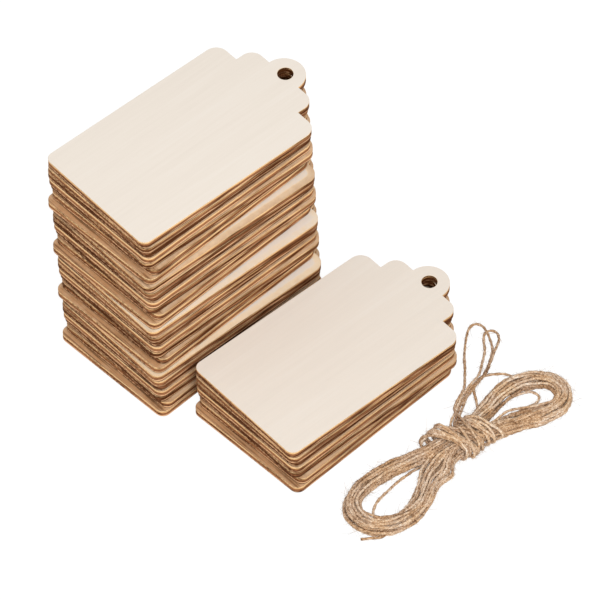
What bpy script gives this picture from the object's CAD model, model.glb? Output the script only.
import math

import bpy
import numpy as np
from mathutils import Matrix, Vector
from mathutils.geometry import tessellate_polygon


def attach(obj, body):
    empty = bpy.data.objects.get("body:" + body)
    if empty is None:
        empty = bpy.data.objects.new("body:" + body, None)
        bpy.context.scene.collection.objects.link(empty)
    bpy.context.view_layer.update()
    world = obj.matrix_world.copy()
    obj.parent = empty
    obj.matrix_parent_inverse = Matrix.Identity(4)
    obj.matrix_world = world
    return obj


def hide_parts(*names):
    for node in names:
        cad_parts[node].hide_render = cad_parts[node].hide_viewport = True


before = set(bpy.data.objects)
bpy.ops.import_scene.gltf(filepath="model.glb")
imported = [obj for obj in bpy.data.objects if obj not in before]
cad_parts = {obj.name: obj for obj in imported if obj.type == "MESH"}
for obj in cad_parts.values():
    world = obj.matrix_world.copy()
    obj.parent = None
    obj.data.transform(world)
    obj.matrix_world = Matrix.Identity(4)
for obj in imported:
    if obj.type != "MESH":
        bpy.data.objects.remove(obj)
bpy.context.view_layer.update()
scene = bpy.context.scene

# Camera: a long lens looks down on the set from in front of its right-hand corner,
# so that a tag's foot and its long side both show.
camera_aim = Vector((0.01961, 0.02476, 0))
camera_azimuth = math.radians(47.77)
camera_elevation = math.radians(50.79)
camera_distance = 2.5
camera_back = Vector((
    math.cos(camera_elevation) * math.sin(camera_azimuth),
    -math.cos(camera_elevation) * math.cos(camera_azimuth),
    math.sin(camera_elevation),
))
lens = bpy.data.cameras.new("camera")
lens.sensor_width = 36
lens.lens = 444
lens.clip_end = 20
camera = bpy.data.objects.new("camera", lens)
camera.location = camera_aim + camera_back * camera_distance
camera.rotation_mode = "QUATERNION"
camera.rotation_quaternion = (-camera_back).to_track_quat("-Z", "Y")
scene.collection.objects.link(camera)
scene.camera = camera

# Twine: one length of two-ply jute, a millimetre thick, laid in long loops, pinched at the waist
# by turns of its own end, with two bights pulled out of the waist to hold it. Sizes are in mm.
mm = 0.001
twine_thickness = 1.0
loop_count = 36
twine_draw = np.random.default_rng(7)

# Points of the hank that are laid by hand are all moved by this much, away from the low stack
hank_move = np.array([2.3, 0, 0])

# The middle of the bundle of loops: from the waist round the near lobe, the waist again, the far lobe
bundle_route = [
    (98.1, 22.5), (97.5, 16.0), (96.3, 10.5), (94.7, 4.5), (92.8, -2.2), (91.8, -9.7),
    (92.3, -16.9), (94.8, -22.3), (99.5, -24.8), (105.3, -23.5), (109.5, -19.0), (111.0, -12.6),
    (109.7, -5.4), (106.2, 0.4), (102.7, 5.2), (100.7, 10.6), (101.4, 16.0), (103.3, 22.5),
    (103.7, 28.5), (104.4, 33.2), (105.7, 38.3), (107.7, 43.9), (109.7, 49.7), (110.6, 55.6),
    (108.8, 60.6), (104.3, 62.7), (99.3, 61.0), (95.5, 56.2), (93.8, 50.1), (94.3, 42.8),
    (95.9, 36.0), (97.5, 29.5),
]
far_waist_knot, steps_per_knot = 17, 24


def eased(points, per_run, closed=False):
    """A smooth line through hand-laid points, with per_run steps from each to the next."""
    points = np.array(points, float)
    count = len(points)
    runs = count if closed else count - 1
    line = []
    for run in range(runs):
        if closed:
            a, b, c, d = (points[(run + k) % count] for k in (-1, 0, 1, 2))
        else:
            a, b, c, d = (points[min(max(run + k, 0), count - 1)] for k in (-1, 0, 1, 2))
        for t in np.arange(per_run) / per_run:
            line.append(0.5 * (
                2 * b + (c - a) * t + (2 * a - 5 * b + 4 * c - d) * t**2
                + (3 * b - a - 3 * c + d) * t**3
            ))
    if not closed:
        line.append(points[-1])
    return np.array(line)


def lengths_along(line):
    return np.concatenate([[0], np.cumsum(np.linalg.norm(np.diff(line, axis=0), axis=1))])


def evenly(line, step):
    """The same line with points a fixed step apart."""
    along = lengths_along(line)
    marks = np.linspace(0, along[-1], max(2, round(along[-1] / step) + 1))
    return np.stack([np.interp(marks, along, line[:, k]) for k in range(line.shape[1])], -1)


bundle_line = eased(bundle_route, steps_per_knot, closed=True) + hank_move[:2]
bundle_line = np.vstack([bundle_line, bundle_line[:1]])
bundle_along = lengths_along(bundle_line)
bundle_length = bundle_along[-1]
far_waist = bundle_along[far_waist_knot * steps_per_knot]
bundle_slope = np.gradient(bundle_line, axis=0)
bundle_slope[0] = bundle_slope[-1] = bundle_line[1] - bundle_line[-2]
bundle_slope /= np.linalg.norm(bundle_slope, axis=1)[:, None]
bundle_out = np.stack([bundle_slope[:, 1], -bundle_slope[:, 0]], -1)

# Places of the strands in the bundle: rows on the floor and above, as they settle when they lie flat
row_strands = (6, 7, 7, 6, 6, 4)
strand_pitch, row_pitch = 0.96, 0.84
strand_places = np.array([
    ((k - (strands - 1) / 2) * strand_pitch, row * row_pitch)
    for row, strands in enumerate(row_strands) for k in range(strands)
])


def crossed(places, reach):
    """The strands moved over to places near their own, as where they cross each other."""
    moved = strand_places[places] + twine_draw.normal(0, reach, (loop_count, 2))
    by_height = np.argsort(moved[:, 1])
    result = np.empty(loop_count, int)
    for row, strands in enumerate(row_strands):
        low = sum(row_strands[:row])
        layer = by_height[low:low + strands]
        result[layer[np.argsort(moved[layer, 0])]] = np.arange(low, low + strands)
    return result


# Each loop passes through the near lobe and then the far one, and changes its place on the way
pass_knots = (0.1, 0.23, 0.37, 0.5, 0.63, 0.77, 0.9)
crossing_reach, place_scatter = 1.15, (0.34, 0.15)
lobe_places = []
for lobe in range(2):
    places = [twine_draw.permutation(loop_count)]
    for knot in pass_knots[1:]:
        places.append(crossed(places[-1], crossing_reach))
    lobe_places.append(places)
knot_marks, knot_places = [], []
for loop in range(loop_count):
    for lobe in range(2):
        for knot, places in zip(pass_knots, lobe_places[lobe]):
            knot_marks.append(2 * loop + lobe + knot)
            scatter = twine_draw.normal(0, 1, 2) * place_scatter
            knot_places.append(strand_places[places[loop]] + scatter)
knot_marks, knot_places = np.array(knot_marks), np.array(knot_places)

loop_start, loop_end, steps_per_pass = 0.56, 2 * loop_count - 0.06, 130
marks = np.arange(loop_start, loop_end, 1 / steps_per_pass)
across = np.interp(marks, knot_marks, knot_places[:, 0])
height = np.interp(marks, knot_marks, knot_places[:, 1])
ease_reach, ease_width = 24, 8
ease = np.exp(-0.5 * (np.arange(-ease_reach, ease_reach + 1) / ease_width) ** 2)
ease /= ease.sum()
across = np.convolve(np.pad(across, ease_reach, "edge"), ease, "valid")
height = np.convolve(np.pad(height, ease_reach, "edge"), ease, "valid")

# A few loops stray: one across the hole of each lobe, one in an arch outside the far lobe,
# and sheaves of slack ones that part from the far lobe's arm and bulge out beside the waist
near_lobe, far_lobe = 0, 1
pass_number = np.floor(marks).astype(int)
pass_share = marks - pass_number


def nearest_loop(lobe, knots, place):
    """The loop, but not the first, that lies nearest a place of the bundle at some knots of a lobe."""
    there = np.mean([strand_places[lobe_places[lobe][knot]] for knot in knots], axis=0)
    return 1 + int(np.argmin(np.abs(there - place).sum(1)[1:]))


def stray(loop, lobe, middle, spread, amount, lift):
    """Move part of a loop's pass through a lobe outwards by an amount, and up or down to the floor."""
    swell = np.exp(-(((pass_share - middle) / spread) ** 2)) * (pass_number == 2 * loop + lobe)
    across[:] = across + amount * swell
    height[:] = height * (1 - swell) if lift is None else height + lift * swell


near_inner_loop = nearest_loop(near_lobe, (1, 2, 3), (-2.9, 0))
far_inner_loop = nearest_loop(far_lobe, (1, 2, 3), (-2.9, 0))
far_outer_loop = nearest_loop(far_lobe, (4, 5), (2.9, 0))
stray(near_inner_loop, near_lobe, middle=0.46, spread=0.12, amount=-5.4, lift=None)
stray(near_inner_loop, near_lobe, middle=0.29, spread=0.1, amount=-2.2, lift=None)
stray(far_inner_loop, far_lobe, middle=0.4, spread=0.16, amount=-3.2, lift=None)
stray(far_outer_loop, far_lobe, middle=0.725, spread=0.09, amount=9.6, lift=None)
for loop in range(1, loop_count):
    beside_waist = strand_places[lobe_places[near_lobe][6][loop]][0]
    bulge = 0.7 * (beside_waist + 2.6)
    stray(loop, near_lobe, middle=0.875, spread=0.06, amount=bulge, lift=0.6)
    on_far_arm = strand_places[lobe_places[far_lobe][1][loop]][0]
    parting = -1.9 if on_far_arm < -1.8 else -0.3 * on_far_arm
    stray(loop, far_lobe, middle=0.22, spread=0.11, amount=parting, lift=0)

at = np.where(
    pass_number % 2 == near_lobe,
    pass_share * far_waist,
    far_waist + pass_share * (bundle_length - far_waist),
)
from_waist = np.minimum(np.minimum(at, bundle_length - at), np.abs(at - far_waist))

# The waist narrows the bundle and lifts it, and beside the waist the near lobe's last arm is loose
pinch_reach, waist_narrowing, arm_loosening = 11, 0.36, 0.24
pinch = np.exp(-((from_waist / pinch_reach) ** 2))
loosened = np.exp(-(((pass_share - 0.82) / 0.1) ** 2)) * (pass_number % 2 == near_lobe)
narrowing = 1 - waist_narrowing * pinch + arm_loosening * loosened
waist_lift = np.exp(-((from_waist / pinch_reach) ** 4))
middle = np.stack([np.interp(at, bundle_along, bundle_line[:, k]) for k in (0, 1)], -1)
outward = np.stack([np.interp(at, bundle_along, bundle_out[:, k]) for k in (0, 1)], -1)
loops_xy = middle + outward * (across * narrowing)[:, None]
loops_z = twine_thickness / 2 + waist_lift + np.maximum(height, 0) / narrowing
loops_line = np.column_stack([loops_xy, loops_z])

# The bare end that the winding began with
first_end = np.array([(106.2, -29.0, 0.5), (107.6, -26.6, 0.5), (110.4, -22.6, 0.6)]) + hank_move

# Turns round the waist: tight ones towards the far lobe, then a looser layer back over them
waist_middle, waist_slope = np.array([102.9, 22.8]), np.array([0.11, 0.994])
waist_side = np.array([0.994, -0.11])
waist_height = 4.35


def waist_turn(angle, along, half_width, half_height, slant, boxy=2.3):
    """A point of a turn round the waist, which leans along it from the left side to the right."""
    c, s = math.cos(angle), math.sin(angle)
    flat = (abs(c) ** boxy + abs(s) ** boxy) ** (1 / boxy)
    xy = waist_middle + waist_slope * (along + slant * c) + waist_side * half_width * c / flat
    reach = half_height if s > 0 else min(half_height, waist_height - 0.5)
    return (xy[0], xy[1], waist_height + reach * s / flat)


waist_line = []
tight_turns, loose_turns, slack_turns, turn_steps = 9.5, 5.0, 6.0, 16
tight_start, tight_pitch, loose_start, loose_pitch = -6.6, 1.55, 8.2, 2.7
for k in range(2, round(tight_turns * turn_steps)):
    turn = k / turn_steps
    along = tight_start + turn * tight_pitch + 0.5 * math.sin(4.1 * turn)
    slant = 1.7 + 0.7 * math.sin(2.3 * turn)
    angle = math.pi + turn * 2 * math.pi
    waist_line.append(waist_turn(angle, along, half_width=5.9, half_height=3.75, slant=slant))
for k in range(round(loose_turns * turn_steps)):
    turn = k / turn_steps
    along = loose_start - turn * loose_pitch + 0.6 * math.sin(2.7 * turn)
    slant = 1.8 + 1.3 * math.sin(1.9 * turn + 1)
    angle = (tight_turns + turn) * 2 * math.pi + math.pi
    waist_line.append(waist_turn(angle, along, half_width=6.6, half_height=4.4, slant=slant))

# Slack turns round the near end of the waist, which stand off it on the left and fan out there
for k in range(round(slack_turns * turn_steps)):
    turn = k / turn_steps
    angle = (tight_turns + loose_turns + turn) * 2 * math.pi + math.pi
    left = max(0, -math.cos(angle))
    settled = min(1, turn / 0.5)
    on_left = -15.0 + 1.55 * turn
    on_right = 0.9 - 0.15 * turn
    along = -4.8 + ((on_left + on_right) / 2 + 4.8) * settled + 0.35 * math.sin(3.3 * turn)
    half_width = 6.9 + (0.3 * turn - 0.4) * left
    half_height = 4.7 + (0.8 + 0.65 * turn) * left + 0.2 * math.sin(3.9 * turn)
    slant = 0.7 + ((on_right - on_left) / 2 - 0.7) * settled
    waist_line.append(waist_turn(angle, along, half_width, half_height, slant, boxy=2.6))
over_waist = np.array([
    (107.4, 23.4, 7.2), (104.4, 23.6, 9.6), (100.6, 24.0, 10.2), (97.0, 25.2, 9.2), (93.8, 26.8, 6.8),
])

# Two bights, pulled out of the waist to the left side by side, and the last end
bight_route = np.array([
    (94.7, 23.1, 6.5), (90.4, 29.4, 4.6), (87.1, 34.8, 3.4), (85.1, 39.9, 2.6), (83.0, 44.6, 2.0),
    (80.8, 49.0, 1.6),
])


def beside_bights(order, aside, above):
    """Points of the bights' common route, in the order given, for a strand to one side of it."""
    return bight_route[list(order)] + (0.88 * aside, 0.48 * aside, above)


def turn_between(half_width, half_height):
    """A turn over the waist and back under it to the foot of the next bight."""
    angles = np.linspace(0.6, -1.06, 15) * math.pi
    return [
        waist_turn(a, -0.9, half_width, half_height, slant=-0.6) - hank_move for a in angles
    ]


left_bight = np.array([
    (83.9, 38.2, 2.2), (78.7, 43.6, 1.3), (73.3, 48.5, 0.7), (69.4, 52.4, 0.5), (66.6, 55.9, 0.5),
    (64.9, 58.8, 0.5), (65.2, 61.6, 0.5), (67.8, 62.4, 0.5), (70.8, 61.4, 0.5), (73.6, 60.2, 0.5),
    (76.2, 58.7, 0.5), (78.3, 56.4, 0.6), (80.7, 53.0, 0.8), (83.0, 49.0, 1.3),
])
right_bight = np.array([
    (82.6, 46.0, 2.0), (79.8, 50.4, 1.6), (76.9, 54.3, 1.5), (73.9, 57.0, 1.5), (70.9, 59.4, 1.5),
    (69.0, 61.8, 1.5), (70.2, 64.4, 1.5), (73.2, 64.3, 1.5), (75.6, 62.1, 1.5), (77.4, 59.6, 1.5),
    (79.1, 56.6, 1.6), (81.5, 52.5, 1.8), (83.9, 48.1, 2.2),
])
last_end = np.array([(98.6, 22.0, 9.6), (103.0, 24.0, 9.9), (106.6, 26.0, 8.2)])
bight_line = np.vstack([
    beside_bights((1, 2), -1.2, 0), left_bight, beside_bights((3, 2, 1, 0), 1.2, 0),
    turn_between(7.5, 5.4), beside_bights((1, 2, 3), -0.4, 0.2), right_bight,
    beside_bights((3, 2, 1, 0), 0.4, 0.3), last_end,
])

# The whole twine, from its first end to its last, in even steps
loops_from, loops_every, twine_step = 10, 3, 0.7
laid = np.vstack([
    first_end, loops_line[loops_from::loops_every], waist_line, over_waist + hank_move,
    bight_line + hank_move,
])
twine_line = evenly(eased(laid, per_run=5), twine_step)
for _ in range(2):
    twine_line[1:-1] = (twine_line[:-2] + 2 * twine_line[1:-1] + twine_line[2:]) / 4
twine_line = evenly(twine_line, twine_step)

# The fibre keeps the kinks it had in the ball, less so in the bights, and rests on the floor
kink_sizes, kink_reach, kink_width = (0.2, 0.2, 0.14), 9, 2.6
bight_steps, bight_kinks, lowest_middle = 650, 0.35, 0.45
kinks = twine_draw.normal(0, 1, (3, len(twine_line)))
soft = np.exp(-0.5 * (np.arange(-kink_reach, kink_reach + 1) / kink_width) ** 2)
in_bights = np.arange(len(twine_line)) > len(twine_line) - bight_steps
straighter = np.where(in_bights, bight_kinks, 1)
for axis, amount in enumerate(kink_sizes):
    kink = np.convolve(kinks[axis], soft, "same")
    twine_line[:, axis] += amount * straighter * kink / kink.std()
twine_line[:, 2] = np.maximum(twine_line[:, 2], lowest_middle)

# The twine bends no tighter than twice its thickness: what does is eased out
least_bend, easing_passes = 2.1 * twine_thickness, 60
for _ in range(easing_passes):
    slope = np.gradient(twine_line, axis=0)
    bend = np.linalg.norm(np.gradient(slope, axis=0), axis=1) / (slope**2).sum(1)
    tight = np.convolve(bend > 1 / least_bend, np.ones(9), "same")[1:-1] > 0
    between = (twine_line[:-2] + twine_line[2:]) / 2
    twine_line[1:-1][tight] = (twine_line[1:-1][tight] + between[tight]) / 2
twine_line = evenly(twine_line, twine_step)
twine_along = lengths_along(twine_line)
twine_length = twine_along[-1]


def carried_frames(line):
    """A direction square to the line at each point, which turns no more than the line makes it."""
    slope = np.gradient(line, axis=0)
    slope /= np.linalg.norm(slope, axis=1)[:, None]
    side = np.empty_like(line)
    now = np.cross(slope[0], (0, 0, 1.0))
    for i, t in enumerate(slope):
        now = now - t * (now @ t)
        now /= np.linalg.norm(now)
        side[i] = now
    return side, np.cross(slope, side)


# The twine's section is two plies side by side, which twist round each other every six millimetres.
# It is thicker here and thinner there, and its colour changes along its length.
ply_twist, ply_radius, ply_depth, ring_sides = 6.0, 0.45, 0.15, 8
slub_spots, slub_size, roughness_size, tone_spots = 900, 0.06, 0.07, 160
side, rise = carried_frames(twine_line)
slub = np.interp(
    twine_along, np.linspace(0, twine_length, slub_spots), twine_draw.normal(1, slub_size, slub_spots)
)
round_angle = np.arange(ring_sides) * 2 * math.pi / ring_sides
twist = twine_along * 2 * math.pi / ply_twist
ply_form = 1 + ply_depth * np.cos(2 * (round_angle[None] - twist[:, None]))
radius = ply_radius * slub[:, None] * ply_form
radius *= twine_draw.normal(1, roughness_size, radius.shape)
rings = (
    twine_line[:, None]
    + (radius * np.cos(round_angle))[..., None] * side[:, None]
    + (radius * np.sin(round_angle))[..., None] * rise[:, None]
)
floor_gap = 0.03
rings[..., 2] = np.maximum(rings[..., 2], floor_gap)
ring_count = len(twine_line)
corner = np.arange(ring_sides)
first = (np.arange(ring_count - 1) * ring_sides)[:, None]
here, beside = first + corner, first + (corner + 1) % ring_sides
walls = np.stack([here, beside, beside + ring_sides, here + ring_sides], -1).reshape(-1, 4)
end_faces = [tuple(corner[::-1]), tuple((ring_count - 1) * ring_sides + corner)]
twine_mesh = bpy.data.meshes.new("jute_twine")
twine_mesh.from_pydata(rings.reshape(-1, 3) * mm, [], walls.tolist() + end_faces)
twine_mesh.polygons.foreach_set("use_smooth", [True] * len(twine_mesh.polygons))
strand_tone = np.interp(
    twine_along, np.linspace(0, twine_length, tone_spots), twine_draw.uniform(0, 1, tone_spots)
)
tone = twine_mesh.attributes.new("strand_tone", "FLOAT", "POINT")
tone.data.foreach_set("value", np.repeat(strand_tone, ring_sides).astype(np.float32))
twine = bpy.data.objects.new("jute_twine", twine_mesh)
scene.collection.objects.link(twine)


def srgb(red, green, blue):
    """A colour as it is read off a screen, from 0 to 255, made linear."""
    values = [v / 255 for v in (red, green, blue)]
    return [*(v / 12.92 if v <= 0.04045 else ((v + 0.055) / 1.055) ** 2.4 for v in values), 1]


def new_material(name, roughness, specular):
    made = bpy.data.materials.new(name)
    made.use_nodes = True
    shader = made.node_tree.nodes["Principled BSDF"]
    shader.inputs["Roughness"].default_value = roughness
    shader.inputs["Specular IOR Level"].default_value = specular
    return made, made.node_tree, shader


def add_node(tree, kind, inputs=(), **settings):
    """A shader node with its settings, its sockets' values and its links."""
    made = tree.nodes.new(kind)
    for key, value in settings.items():
        setattr(made, key, value)
    for key, value in dict(inputs).items():
        if isinstance(value, bpy.types.NodeSocket):
            tree.links.new(value, made.inputs[key])
        else:
            made.inputs[key].default_value = value
    return made


def colour_ramp(tree, factor, stops):
    made = add_node(tree, "ShaderNodeValToRGB", {"Fac": factor})
    ramp = made.color_ramp
    while len(ramp.elements) < len(stops):
        ramp.elements.new(0.5)
    for element, (place, colour) in zip(ramp.elements, stops):
        element.position, element.color = place, colour
    return made.outputs["Color"]


def painted(tree, name):
    """A value that the mesh carries at its points."""
    return add_node(tree, "ShaderNodeAttribute", attribute_name=name).outputs["Fac"]


def stretched(tree, place, scale):
    return add_node(tree, "ShaderNodeMapping", {"Vector": place, "Scale": scale}).outputs[0]


def noise(tree, place, scale, detail):
    inputs = {"Vector": place, "Scale": scale, "Detail": detail}
    return add_node(tree, "ShaderNodeTexNoise", inputs).outputs["Fac"]


def figure(tree, operation, *values):
    """A sum of values, each a number or a socket of another node."""
    return add_node(tree, "ShaderNodeMath", enumerate(values), operation=operation).outputs[0]


def ranged(tree, value, low, high, to_low=0.0, to_high=1.0):
    """A value moved from one range to another and kept inside it."""
    inputs = {"Value": value, "From Min": low, "From Max": high, "To Min": to_low, "To Max": to_high}
    return add_node(tree, "ShaderNodeMapRange", inputs).outputs[0]


def blended(tree, factor, first, second, kind="RGBA", way="MIX"):
    inputs = {"Factor": factor, "A": first, "B": second}
    made = add_node(tree, "ShaderNodeMix", inputs, data_type=kind, blend_type=way)
    return made.outputs["Result"]


def bumped(tree, shader, height, strength, distance):
    made = add_node(
        tree, "ShaderNodeBump", {"Height": height, "Strength": strength, "Distance": distance}
    )
    tree.links.new(made.outputs[0], shader.inputs["Normal"])


# Jute: light and dark fibres along the twine, with golden patches
jute, tree, shader = new_material("jute", 0.9, 0.25)
place = add_node(tree, "ShaderNodeTexCoord").outputs["Object"]
fibre = noise(tree, place, 1500.0, 3.0)
patch = noise(tree, place, 210.0, 2.0)
mixed = figure(tree, "ADD", painted(tree, "strand_tone"), patch)
mixed = figure(tree, "MULTIPLY_ADD", fibre, 3.2, mixed)
jute_colour = colour_ramp(tree, ranged(tree, mixed, 1.55, 3.45), (
    (0.0, srgb(110, 74, 46)), (0.35, srgb(186, 151, 119)), (0.7, srgb(222, 193, 164)),
    (1.0, srgb(249, 233, 214)),
))
golden = ranged(tree, noise(tree, place, 130.0, 1.0), 0.44, 0.6)
jute_colour = blended(tree, golden, jute_colour, srgb(254, 246, 232), way="MULTIPLY")
tree.links.new(jute_colour, shader.inputs["Base Color"])
bumped(tree, shader, fibre, 0.5, 0.0002)
twine_mesh.materials.append(jute)

# Jute fibres: ends of the plant's fibres that the spinning left out of the plies or that came loose
# since. Most are short and lie close to the twine, and a few are long and stray.
root_depth, sideways, curliness, taper, fibre_sides = 0.36, 0.7, 0.6, 0.6, 3
fuzz_points, fuzz_faces, fuzz_tone, spots_so_far = [], [], [], 0
for fibre_count, fibre_rings, thick, reaches, leans in (
    (22000, 2, 0.045, (1.0, 2.6), (0.0, 0.3)), (700, 6, 0.045, (3.5, 8), (0.1, 0.6)),
):
    roots = twine_draw.integers(2, ring_count - 2, fibre_count)
    turn = twine_draw.uniform(0, 2 * math.pi, fibre_count)[:, None]
    away = np.cos(turn) * side[roots] + np.sin(turn) * rise[roots]
    ahead = twine_line[roots + 1] - twine_line[roots - 1]
    ahead *= (twine_draw.choice((-1, 1), fibre_count) / np.linalg.norm(ahead, axis=1))[:, None]
    heading = ahead + twine_draw.uniform(*leans, fibre_count)[:, None] * away
    heading += twine_draw.normal(0, sideways, fibre_count)[:, None] * np.cross(ahead, away)
    curl = twine_draw.normal(0, curliness, heading.shape) / (fibre_rings - 1)
    step = twine_draw.uniform(*reaches, fibre_count)[:, None] / (fibre_rings - 1)
    point = twine_line[roots] + root_depth * away
    spots = []
    for ring in range(fibre_rings):
        heading /= np.linalg.norm(heading, axis=1)[:, None]
        spread = np.cross(heading, (0.3, 0.2, 1.0))
        spread /= np.linalg.norm(spread, axis=1)[:, None]
        lift = np.cross(spread, heading)
        size = thick * (1 - taper * ring / (fibre_rings - 1))
        for a in np.arange(fibre_sides) * 2 * math.pi / fibre_sides:
            spots.append(point + size * (math.cos(a) * spread + math.sin(a) * lift))
        point = point + heading * step
        heading = heading + curl
    fuzz_points.append(np.stack(spots, 1).reshape(-1, 3))
    fibre_spots = fibre_rings * fibre_sides
    fuzz_tone.append(np.repeat(twine_draw.uniform(-0.6, 2.0, fibre_count), fibre_spots))
    starts = spots_so_far + np.arange(fibre_count)[:, None] * fibre_spots
    spots_so_far += fibre_count * fibre_spots
    here = np.arange(fibre_spots - fibre_sides)
    beside = here - here % fibre_sides + (here + 1) % fibre_sides
    sides = np.stack([here, beside, beside + fibre_sides, here + fibre_sides], -1)
    fuzz_faces += (starts[:, None] + sides).reshape(-1, 4).tolist()
    fuzz_faces += (starts + np.arange(fibre_sides)[::-1]).tolist()
    fuzz_faces += (starts + fibre_spots - fibre_sides + np.arange(fibre_sides)).tolist()
fuzz_points = np.vstack(fuzz_points)
fuzz_points[:, 2] = np.maximum(fuzz_points[:, 2], floor_gap)
fuzz_mesh = bpy.data.meshes.new("jute_fibres")
fuzz_mesh.from_pydata(fuzz_points * mm, [], fuzz_faces)
fuzz_mesh.polygons.foreach_set("use_smooth", [True] * len(fuzz_mesh.polygons))
tone = fuzz_mesh.attributes.new("strand_tone", "FLOAT", "POINT")
tone.data.foreach_set("value", np.concatenate(fuzz_tone).astype(np.float32))
fuzz_mesh.materials.append(jute)
fuzz = bpy.data.objects.new("jute_fibres", fuzz_mesh)
scene.collection.objects.link(fuzz)
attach(fuzz, "hank")
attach(twine, "hank")
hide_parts("twine_hank", "twine_bights")

# Tags: blanks of three-ply board, cut by a laser that burns the edges and the hole brown and scorches
# a rim on the faces. They lie loose in two stacks, a little out of line, in bundles alike.
tag_width, tag_length, tag_thickness, tag_pitch = 50.0, 90.0, 3.0, 3.1
hole_radius, hole_place = 2.7, (0.0, 38.3)
bundle_tags, tall_bundles, bundle_lean = 7, 4, 1.6
low_stack_place = np.array([54.0, 11.7])
tag_slips = np.array([
    (0, 0), (-0.4, 0.1), (-1.8, 0.8), (-1.3, 0.8), (-0.8, 1.3), (-1.4, 1.7), (-1.4, -0.3),
])
tag_turns = (-0.8, 0.1, 1.2, 1.0, -0.2, 2.6, 2.7)


def arc(centre, radius, start, end, step=0.9):
    count = max(4, math.ceil(abs(math.radians(end - start)) * radius / step))
    angles = np.radians(np.linspace(start, end, count + 1))
    return [(centre[0] + radius * math.cos(a), centre[1] + radius * math.sin(a)) for a in angles]


def straight(start, end, step=2.5):
    """Points between the ends of a straight side, without the ends."""
    count = max(2, math.ceil(math.dist(start, end) / step))
    shares = np.arange(1, count) / count
    return [tuple(np.array(start) * (1 - t) + np.array(end) * t) for t in shares]


# Right half of the outline from the foot to the tip: foot corner, shoulder, middle tier, round lobe
side_x, foot_y, foot_corner = tag_width / 2, -tag_length / 2, 3.0
shoulder_y, shoulder_corner = 30.3, 4.5
tier_x, tier_y, tier_corner = 15.5, 37.6, 4.3
lobe_y, lobe_radius = 37.7, 7.3
half = arc((side_x - foot_corner, foot_y + foot_corner), foot_corner, -90, 0)
half += straight((side_x, foot_y + foot_corner), (side_x, shoulder_y - shoulder_corner))
half += arc((side_x - shoulder_corner, shoulder_y - shoulder_corner), shoulder_corner, 0, 90)
half += straight((side_x - shoulder_corner, shoulder_y), (tier_x, shoulder_y))
half += [(tier_x, shoulder_y)] + straight((tier_x, shoulder_y), (tier_x, tier_y - tier_corner))
half += arc((tier_x - tier_corner, tier_y - tier_corner), tier_corner, 0, 90)
half += straight((tier_x - tier_corner, tier_y), (lobe_radius, tier_y))
half += arc((0.0, lobe_y), lobe_radius, -0.8, 90)
foot = straight((foot_corner - side_x, foot_y), (side_x - foot_corner, foot_y))
outline = np.array(foot + half + [(-x, y) for x, y in half[-2::-1]])
hole_count = 40
hole_angles = np.arange(hole_count) * 2 * math.pi / hole_count
hole_ring = np.array(hole_place) + hole_radius * np.stack(
    [np.cos(hole_angles), np.sin(hole_angles)], -1
)


def inward(ring):
    """How far each corner of a ring moves for an inset of one, square to both of its sides."""
    before = ring - np.roll(ring, 1, 0)
    after = np.roll(ring, -1, 0) - ring
    before /= np.linalg.norm(before, axis=1)[:, None]
    after /= np.linalg.norm(after, axis=1)[:, None]
    a = np.stack([-before[:, 1], before[:, 0]], -1)
    b = np.stack([-after[:, 1], after[:, 0]], -1)
    return (a + b) / (1 + (a * b).sum(1))[:, None]


outline_in, foot_fade = inward(outline), 4


def ring_at(inset, at_foot=0.0):
    """The outline moved inwards, and further at the foot."""
    ring = outline + outline_in * np.reshape(inset, (-1, 1))
    ring[:, 1] += at_foot * np.exp(-(ring[:, 1] - ring[:, 1].min()) / foot_fade)
    return ring


hole_out = (hole_ring - hole_place) / hole_radius

# Section of the cut edge from the top face to the bottom one: inset, how much further in the ring lies
# at the foot, height, and scorch on the sides and at the foot. Wear rounds the lower corner.
edge_section = (
    (2.7, 2.6, 3.0, 0.2, 0.0), (2.0, 1.4, 3.0, 0.55, 0.84), (1.0, 0.3, 3.0, 0.65, 0.84),
    (0.35, 0.0, 3.0, 0.7, 0.8), (0.07, 0.0, 3.0, 0.75, 0.8), (0.0, 0.0, 2.93, 1.0, 1.0),
    (0.0, 0.0, 2.3, 1.0, 1.0), (0.04, 0.0, 2.2, 1.0, 1.0), (0.04, 0.0, 0.8, 1.0, 1.0),
    (0.0, 0.0, 0.7, 1.0, 1.0), (0.0, 0.0, 0.3, 1.0, 1.0), (0.1, 0.0, 0.0, 1.0, 1.0),
    (2.7, 0.0, 0.0, 0.0, 0.0),
)
worn_wall, worn_corner = len(edge_section) - 3, len(edge_section) - 2
hole_section = (
    (0.8, 3.0, 0.0), (0.08, 3.0, 0.15), (0.0, 2.93, 1.0), (0.0, 0.07, 1.0), (0.08, 0.0, 0.15),
    (0.8, 0.0, 0.0),
)
edge_count = len(outline)
hole_start = edge_count * len(edge_section)
tag_faces = []
for ring in range(len(edge_section) - 1):
    for k in range(edge_count):
        a, b = ring * edge_count + k, ring * edge_count + (k + 1) % edge_count
        tag_faces.append((a, a + edge_count, b + edge_count, b))
for ring in range(len(hole_section) - 1):
    for k in range(hole_count):
        a = hole_start + ring * hole_count + k
        b = hole_start + ring * hole_count + (k + 1) % hole_count
        tag_faces.append((a, b, b + hole_count, a + hole_count))
wall_faces = len(tag_faces)
top_outline = ring_at(*edge_section[0][:2])
top_hole = hole_ring + hole_out * hole_section[0][0]
top_fill = tessellate_polygon([
    [Vector((*p, 0)) for p in top_outline], [Vector((*p, 0)) for p in top_hole],
])
bottom_edge = edge_count * (len(edge_section) - 1)
bottom_hole = hole_start + hole_count * (len(hole_section) - 1)
top_places = np.vstack([top_outline, top_hole])
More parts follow.
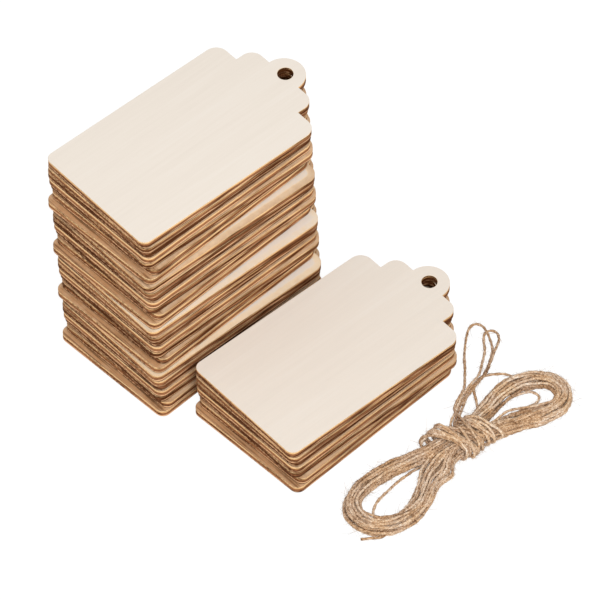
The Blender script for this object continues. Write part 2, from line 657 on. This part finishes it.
for triangle in top_fill:
    a, b, c = (top_places[k] for k in triangle)
    if (b - a)[0] * (c - a)[1] - (b - a)[1] * (c - a)[0] < 0:
        triangle = triangle[::-1]
    top = [k if k < edge_count else hole_start + k - edge_count for k in triangle]
    low = [bottom_edge + k if k < edge_count else bottom_hole + k - edge_count for k in triangle]
    tag_faces += [tuple(top), tuple(low[::-1])]
foot_share = np.interp(outline[:, 1], (foot_y + 0.4, foot_y + foot_corner), (1, 0))
outline_along = lengths_along(np.vstack([outline, outline[:1]]))[:-1]
outline_length = outline_along[-1] + np.linalg.norm(outline[-1] - outline[0])

# Plywood: pale veneer with its grain along the tag
plywood, tree, shader = new_material("plywood", 0.75, 0.04)
place = add_node(tree, "ShaderNodeTexCoord").outputs["Object"]
scorch = painted(tree, "scorch")
along_grain = stretched(tree, place, (1.0, 0.045, 1.0))
grain = noise(tree, along_grain, 900.0, 4.0)
broad = noise(tree, along_grain, 130.0, 2.0)
face_colour = colour_ramp(tree, blended(tree, 0.5, grain, broad, kind="FLOAT"), (
    (0.3, srgb(234, 224, 212)), (0.5, srgb(237, 227, 215)), (0.7, srgb(239, 230, 219)),
))
bumped(tree, shader, grain, 0.03, 0.0001)

# The rim of a face is browned by smoke, and at the foot it is streaked along the edge
smoke = figure(tree, "SUBTRACT", noise(tree, place, 420.0, 3.0), 0.5)
rim = ranged(tree, figure(tree, "MULTIPLY_ADD", smoke, 0.3, scorch), 0.08, 0.85)
smoke_colour = colour_ramp(tree, rim, (
    (0.0, srgb(250, 236, 214)), (0.35, srgb(244, 222, 190)), (1.0, srgb(196, 150, 108)),
))
rim_colour = blended(tree, ranged(tree, rim, 0.0, 0.3), face_colour, smoke_colour)
foot_lines = noise(tree, stretched(tree, place, (0.03, 1.0, 1.0)), 1050.0, 1.0)
foot_lines = ranged(tree, foot_lines, 0.48, 0.62, 0.0, 0.7)
foot_lines = figure(tree, "MULTIPLY", foot_lines, painted(tree, "foot"))
foot_lines = figure(tree, "MULTIPLY", foot_lines, rim)
rim_colour = blended(tree, foot_lines, rim_colour, srgb(104, 66, 38))

# The cut edge shows the three plies, burnt in lines and specks
streak = noise(tree, place, 190.0, 4.0)
waver = ranged(tree, streak, 0.2, 0.8, -0.05, 0.05)
edge_colour = colour_ramp(tree, figure(tree, "ADD", painted(tree, "ply"), waver), (
    (0.02, srgb(72, 36, 8)), (0.1, srgb(148, 92, 52)), (0.16, srgb(228, 176, 130)),
    (0.3, srgb(236, 188, 144)), (0.36, srgb(130, 76, 40)), (0.5, srgb(182, 124, 86)),
    (0.64, srgb(136, 82, 46)), (0.7, srgb(234, 178, 118)), (0.88, srgb(248, 202, 146)),
    (0.96, srgb(252, 218, 168)),
))
lines = noise(tree, stretched(tree, place, (0.05, 0.05, 1.0)), 1500.0, 2.0)
specks = noise(tree, stretched(tree, place, (0.45, 0.03, 1.0)), 2100.0, 1.0)
sooty = figure(tree, "MULTIPLY_ADD", streak, 0.5, painted(tree, "burn"))
sooty = figure(tree, "MULTIPLY_ADD", specks, 3.0, sooty)
sooty = figure(tree, "MULTIPLY_ADD", lines, 4.0, sooty)
charred = ranged(tree, sooty, 3.9, 5.2, 0.0, 0.95)
edge_burnt = blended(tree, charred, edge_colour, srgb(74, 34, 6))
tag_colour = blended(tree, ranged(tree, scorch, 0.85, 0.99), rim_colour, edge_burnt)
tree.links.new(tag_colour, shader.inputs["Base Color"])

# How dark each tag of a bundle is burnt, from the top one down: at the foot and the head, towards
# its underside, and on the rims of its faces, also where the top tag of a bundle is covered
tag_draw = np.random.default_rng(11)
row_burn = (
    (0.0, 0.2), (0.55, 1.0), (1.15, 1.6), (-0.2, 0.0), (1.15, 0.5), (0.6, 1.0), (0.35, 0.5),
)
row_soot = (1.1, 0.1, 0.1, 0.8, 0.2, 0.2, 0.3)
row_scorch = (0.06, 0.9, 0.9, 0.95, 0.95, 1.0, 1.0)
covered_scorch = (0.55, 0.36, 0.8)
burn_span, hole_burn = (foot_y, 30), 1.3
edge_wear, wear_rise, sharp_angle = 0.5, 0.5, math.radians(30)


def wander():
    """A slow, smooth variation round the outline, from 0 to 1."""
    phases = tag_draw.uniform(0, 2 * math.pi, 4)
    angle = outline_along / outline_length * 2 * math.pi
    wave = sum(np.sin((k + 1) * angle + phase) / (k + 1) for k, phase in enumerate(phases))
    return 0.5 + 0.5 * wave / np.abs(wave).max()


def make_tag(stack, pile, number, stack_place):
    """One tag of a pile, numbered from the floor up, in its place and on its own body."""
    row = bundle_tags - 1 - number % bundle_tags
    slip = tag_slips[row] - tag_slips[-1] - (number // bundle_tags * bundle_lean, 0) + stack_place
    turn = math.radians(tag_turns[row])
    worn = edge_wear * wander() ** 2
    covered = row == 0 and number < pile - 1
    rim_share = covered_scorch[number // bundle_tags] if covered else row_scorch[row]
    points, burnt, plies = [], [], []
    for place_in, (inset, further, level, on_side, on_foot) in enumerate(edge_section):
        z = np.full(edge_count, level)
        if place_in == worn_wall:
            z = z + wear_rise * worn
        if place_in == worn_corner:
            inset = inset + worn
        points.append(np.column_stack([ring_at(inset, further), z]))
        scorched = on_side + (on_foot - on_side) * foot_share
        burnt += list(scorched if on_side == 1 else scorched * rim_share)
        plies.append(z / tag_thickness)
    for inset, level, scorched in hole_section:
        points.append(np.column_stack([hole_ring + hole_out * inset, np.full(hole_count, level)]))
        burnt += [scorched] * hole_count
        plies.append(np.full(hole_count, level / tag_thickness))
    points = np.vstack(points)
    c, s = math.cos(turn), math.sin(turn)
    placed = np.column_stack([
        points[:, 0] * c - points[:, 1] * s + slip[0],
        points[:, 0] * s + points[:, 1] * c + slip[1],
        points[:, 2] + number * tag_pitch,
    ])
    name = f"{stack}_blank_{number + 1:02d}"
    mesh = bpy.data.meshes.new(name)
    mesh.from_pydata(placed * mm, [], tag_faces)
    smooth = np.zeros(len(tag_faces), bool)
    smooth[2 * edge_count:wall_faces] = True
    mesh.polygons.foreach_set("use_smooth", smooth)
    plies = np.concatenate(plies)
    dark = np.interp(points[:, 1], burn_span, row_burn[row]) + row_soot[row] * (1 - plies)
    dark[hole_start:] = hole_burn
    by_foot = np.append(np.tile(foot_share, len(edge_section)), np.zeros(len(points) - hole_start))
    for key, values in (
        ("scorch", burnt), ("ply", plies), ("foot", by_foot),
        ("burn", dark + tag_draw.uniform(-0.1, 0.1)),
    ):
        mesh.attributes.new(key, "FLOAT", "POINT").data.foreach_set(
            "value", np.array(values, np.float32)
        )
    mesh.set_sharp_from_angle(angle=sharp_angle)
    mesh.materials.append(plywood)
    tag = bpy.data.objects.new(name, mesh)
    scene.collection.objects.link(tag)
    node = f"{stack}_tag_{number + 1:02d}"
    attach(tag, node)
    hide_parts(node)


for stack, pile, stack_place in (
    ("tall", bundle_tags * tall_bundles, np.zeros(2)), ("low", bundle_tags, low_stack_place),
):
    for number in range(pile):
        make_tag(stack, pile, number, stack_place)

# Floor: a pale sheet of matt paper under the set, which shows white to the camera
# and keeps a faint shadow
floor_reach, floor_level, white_share = 4, -0.0002, 0.86
floor_corners = [
    (x * floor_reach, y * floor_reach, floor_level) for x, y in ((-1, -1), (1, -1), (1, 1), (-1, 1))
]
floor_mesh = bpy.data.meshes.new("floor")
floor_mesh.from_pydata(floor_corners, [], [(0, 1, 2, 3)])
floor = bpy.data.objects.new("floor", floor_mesh)
scene.collection.objects.link(floor)
paper = bpy.data.materials.new("white_paper")
paper.use_nodes = True
tree = paper.node_tree
tree.nodes.remove(tree.nodes["Principled BSDF"])
matt = add_node(tree, "ShaderNodeBsdfDiffuse", {"Color": (0.9, 0.9, 0.9, 1)}).outputs[0]
white = add_node(tree, "ShaderNodeEmission", {"Color": (1, 1, 1, 1), "Strength": 1.09}).outputs[0]


def seen_directly(tree):
    """One for rays from the camera, and for those that metal or glass sends on."""
    rays = add_node(tree, "ShaderNodeLightPath").outputs
    either = figure(tree, "MAXIMUM", rays["Is Camera Ray"], rays["Is Glossy Ray"])
    return figure(tree, "MAXIMUM", either, rays["Is Transmission Ray"])


whiteness = figure(tree, "MULTIPLY", seen_directly(tree), white_share)
shown = add_node(tree, "ShaderNodeMixShader", {0: whiteness, 1: matt, 2: white}).outputs[0]
tree.links.new(shown, tree.nodes["Material Output"].inputs["Surface"])
floor_mesh.materials.append(paper)

# Light: an even white room, at about half strength on the set, and one broad round lamp
# high in front of its right-hand side
room_strength, lamp_distance = 0.55, 1.3
room = bpy.data.worlds.new("room")
scene.world = room
room.use_nodes = True
tree = room.node_tree
room_light = tree.nodes["Background"]
strength = ranged(tree, seen_directly(tree), 0.0, 1.0, room_strength, 1.0)
room_light.inputs["Color"].default_value = (1, 1, 1, 1)
tree.links.new(strength, room_light.inputs["Strength"])
lamp_data = bpy.data.lights.new("lamp", "AREA")
lamp_data.shape = "DISK"
lamp_data.size = 0.7
lamp_data.energy = 10
lamp = bpy.data.objects.new("lamp", lamp_data)
lamp_from = Vector((0.65, -0.4, 1.0)).normalized()
lamp.location = camera_aim + lamp_from * lamp_distance
lamp.rotation_mode = "QUATERNION"
lamp.rotation_quaternion = lamp_from.to_track_quat("Z", "Y")
scene.collection.objects.link(lamp)
scene.view_settings.view_transform = "Standard"
